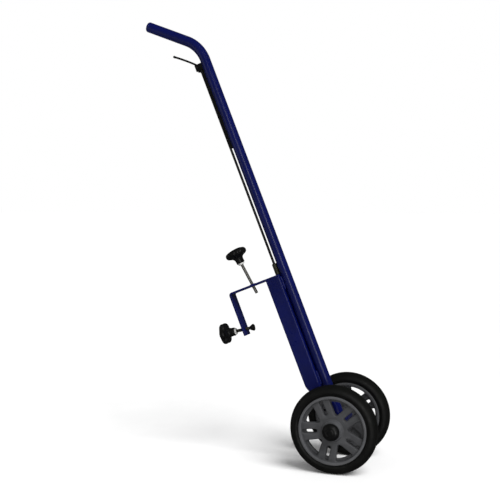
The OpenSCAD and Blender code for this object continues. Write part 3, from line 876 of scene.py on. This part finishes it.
def lever_disc(radius, edge, half_w, matrix):
    """Solid round end across the lever, with eased edges."""
    outline = [(0, -half_w), (radius, -half_w, edge), (radius, half_w, edge), (0, half_w)]
    return placed(lathe_data(fillet(outline, closed=False), 32, False), matrix)


def make_lever():
    """Eye, nose and arched bar of the squeeze lever, with a round tip."""
    grip_along = (LEVER_PIVOT.inverted().to_3x3() @ Vector(GRIP["axis"])).normalized()
    length, rise, arch_r, half_t, half_w = 69.0, 5.8, 500.0, 2.4, 4.0
    turn = math.degrees(math.asin(length / 2 / arch_r))
    centre = (length / 2, rise - arch_r * math.cos(math.radians(turn)))
    across = Vector((grip_along.z, 0, -grip_along.x))

    def at(s, n):
        return grip_along * s + across * n

    steps, soft_r = 24, 1.3
    path = [at(s, n) for s, n in arc(centre, arch_r, 90 + turn, 90 - turn, steps)]
    corners = [(-half_w, -half_t), (half_w, -half_t), (half_w, half_t), (-half_w, half_t)]
    section = fillet([(*corner, soft_r) for corner in corners], steps=3)
    bar = sweep_data(rings_on_path(path, section))

    lay = Matrix.Rotation(math.radians(90), 4, "X")
    eye_r, pin_hole_r = 5, 2.06
    eye_form = [(pin_hole_r, -half_w), (eye_r, -half_w, 0.9), (eye_r, half_w, 0.9), (pin_hole_r, half_w)]
    eye = placed(lathe_data(fillet(eye_form), 48), lay)

    end_r, nose_z = 3, -2
    nose_x = ROD_X - (COLUMN.inverted() @ Vector(JOINTS["lever_squeeze"]["pos_m"])).x
    nose = lever_disc(end_r, 0.6, half_w, Matrix.Translation((nose_x, 0, nose_z)) @ lay)
    neck_low, neck_high = -4.3, 0.4
    neck_form = [(end_r, neck_low), (nose_x, neck_low), (nose_x, neck_high), (end_r, neck_high)]
    neck = prism_data(neck_form, half_w - 0.3)
    tip = lever_disc(end_r, 1.6, half_w, Matrix.Translation(at(length, rise)) @ lay)

    data = join_data(bar, eye, nose, neck, tip)
    lever = add_mesh("squeeze_bar", *data, LEVER_PIVOT, finish_of("squeeze_lever"), sharp=35)
    stands_for(lever, "lever", "squeeze_lever")


def make_guide():
    """Grooved strip behind the rod, with a thin tongue that runs up behind the rod's head to the lug."""
    rod_r, half_w, root_x, face_x = 3.08, 5, -11.4, ROD_X + 1
    low, high = GUIDE_Z
    lip = math.degrees(math.acos(1 / rod_r))
    groove = arc((ROD_X, 0), rod_r, -lip, lip, 12)
    section = [(root_x, -half_w), (face_x, -half_w)] + groove + [(face_x, half_w), (root_x, half_w)]
    strip = sweep_data([[(x, y, z) for x, y in section] for z in (low, high)])
    back_x, foot_z, top_z, tongue_half_w = -14.6, high - 1, high + 9.3, 4.6
    tongue_form = [(back_x, foot_z), (root_x, foot_z), (root_x, top_z), (back_x, top_z)]
    tongue = prism_data(tongue_form, tongue_half_w)
    data = join_data(strip, tongue)
    guide = add_mesh("guide_strip", *data, COLUMN, finish_of("rod_guide"), bevel=0.3)
    stands_for(guide, "frame", "rod_guide")


def make_sleeve_and_spring():
    """Oiled sleeve on the hook's bar, and the coil inside it, built at one fixed height; the real coil
    shortens as the rod goes down.
    """
    matrix = moved(COLUMN, x=ROD_X, z=BAR_TOP)
    profile = fillet([(5.2, 0.05), (6, 0.05, 0.3), (6, 28, 1.4), (3.1, 28, 0.3), (3.1, 25), (5.2, 25)])
    sleeve = lathe("spring_sleeve", profile, matrix, finish_of("spring_housing"), 64)
    stands_for(sleeve, "frame", "spring_housing")

    wire, mean_r, turns, per_turn = 0.55, 4.05, 6.5, 28
    count = int(turns * per_turn)
    z0, z1 = 0.1 + wire, SPRING_HEIGHT - wire
    rings = []
    for k in range(count + 1):
        a = TAU * k / per_turn
        z = z0 + (z1 - z0) * k / count
        out = Vector((math.cos(a), math.sin(a), 0))
        up = Vector((0, 0, 1))
        rings.append([out * (mean_r + p * wire) + up * (z + q * wire) for p, q in circle_section(1, 10)])
    coil = add_mesh("coil_spring", *sweep_data(rings), matrix, finish_of("return_spring"), sharp=50)
    stands_for(coil, "frame", "return_spring")
    return coil


# ---- Scene ----

AMBIENT = 0.3
BACKDROP = 1.0
MIRRORED = 0.035
CAMERA_PLACE = (0.4361, -1.9464, 0.6088)
CAMERA_TILT = 87.02
CAMERA_TURN = 18.84


def dress_cad_nodes():
    """Every CAD node takes its slot's material, except the knobs' bushes and washers, which take the paler
    zinc that carries a painted highlight; the small cut pieces get eased edges.
    """
    eased = {"lever_lug": 0.5, "catch_guide": 0.3}
    # Bushes and washers get the paler zinc that carries a painted highlight.
    pale_highlit_nodes = ("top_knob_bush", "side_knob_bush", "top_washer", "side_washer")
    for name, node in frame["nodes"].items():
        node.data.materials.clear()
        node.data.materials.append(MATERIALS["pale_zinc_with_painted_highlight"] if name in pale_highlit_nodes else finish_of(name))
        if name in eased:
            weld = node.modifiers.new("merged", "WELD")
            weld.merge_threshold = 1e-6
            round_edges(node, eased[name])


def make_stage():
    size = 60
    mesh = bpy.data.meshes.new("floor")
    corners = [(-size, -size, 0), (size, -size, 0), (size, size, 0), (-size, size, 0)]
    mesh.from_pydata(corners, [], [(0, 1, 2, 3)])
    floor = bpy.data.objects.new("floor", mesh)
    bpy.context.collection.objects.link(floor)
    floor.visible_glossy = False
    shader = Shader("pale_floor")
    dull, clean = (0.9, 0.9, 0.9), (0.93, 0.93, 0.93)
    shader.link(shader.ramp(shader.noise(6, 3), [(0.3, dull), (0.7, clean)]), "Base Color")
    shader.set(Roughness=1.0, Specular_IOR_Level=0.0)
    mesh.materials.append(shader.material)


def area_light(name, place, size, power, aim=(-0.1, 0, 0.5), up=(0, 0, 1)):
    """Rectangular card of light at a place, turned to face aim."""
    light = bpy.data.lights.new(name, "AREA")
    light.shape = "RECTANGLE"
    light.size, light.size_y = size
    light.energy = power
    holder = bpy.data.objects.new(name, light)
    holder.location = place
    holder.rotation_euler = axes(place, Vector(place) - Vector(aim), up).to_quaternion().to_euler()
    bpy.context.collection.objects.link(holder)


def soft_sun(name, towards, strength, spread):
    """Wide daylight that shapes the piece but draws no reflection of its own."""
    light = bpy.data.lights.new(name, "SUN")
    light.energy = strength
    light.angle = math.radians(spread)
    holder = bpy.data.objects.new(name, light)
    holder.rotation_euler = (-Vector(towards)).to_track_quat("-Z", "Y").to_euler()
    holder.visible_glossy = False
    bpy.context.collection.objects.link(holder)


def make_lights():
    """Sun, two cards, and a white world that lights little and is mirrored less."""
    soft_sun("day", (0.55, -0.42, 0.8), 3.4, 40)
    area_light("key", (1.3, -2.6, 0.57), (0.45, 3.4), 20, (-0.19, 0, 0.57), COLUMN_UP)
    area_light("side_card", (-2.6, -1.6, 0.8), (1.5, 1.5), 2.2)
    world = bpy.data.worlds.new("studio")
    world.use_nodes = True
    nodes, links = world.node_tree.nodes, world.node_tree.links
    path = nodes.new("ShaderNodeLightPath")
    ambient = nodes["Background"]
    ambient.inputs["Strength"].default_value = AMBIENT
    seen = nodes.new("ShaderNodeBackground")
    seen.inputs["Strength"].default_value = BACKDROP
    mirrored = nodes.new("ShaderNodeBackground")
    mirrored.inputs["Strength"].default_value = MIRRORED
    for back in (ambient, seen, mirrored):
        back.inputs["Color"].default_value = (1, 1, 1, 1)
    glossy = nodes.new("ShaderNodeMixShader")
    links.new(path.outputs["Is Glossy Ray"], glossy.inputs[0])
    links.new(ambient.outputs[0], glossy.inputs[1])
    links.new(mirrored.outputs[0], glossy.inputs[2])
    choose = nodes.new("ShaderNodeMixShader")
    links.new(path.outputs["Is Camera Ray"], choose.inputs[0])
    links.new(glossy.outputs[0], choose.inputs[1])
    links.new(seen.outputs[0], choose.inputs[2])
    links.new(choose.outputs[0], nodes["World Output"].inputs["Surface"])
    world.cycles.sampling_method = "NONE"
    bpy.context.scene.world = world


def make_camera():
    camera = bpy.data.cameras.new("camera")
    camera.sensor_width = 36
    camera.lens = 61.2
    camera.clip_start = 0.05
    holder = bpy.data.objects.new("camera", camera)
    holder.location = CAMERA_PLACE
    holder.rotation_euler = (math.radians(CAMERA_TILT), 0, math.radians(CAMERA_TURN))
    bpy.context.collection.objects.link(holder)
    bpy.context.scene.camera = holder
    bpy.context.scene.view_settings.view_transform = "Standard"


make_camera()
make_lights()
make_stage()
dress_cad_nodes()
make_column()
make_welds()
make_channel()
make_hook()
for wheel_side in WHEELS:
    make_rim(wheel_side)
    make_tyre(wheel_side)
    make_hub_cap(wheel_side)
make_screws()
make_lever()
make_guide()
spring = make_sleeve_and_spring()
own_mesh(spring)
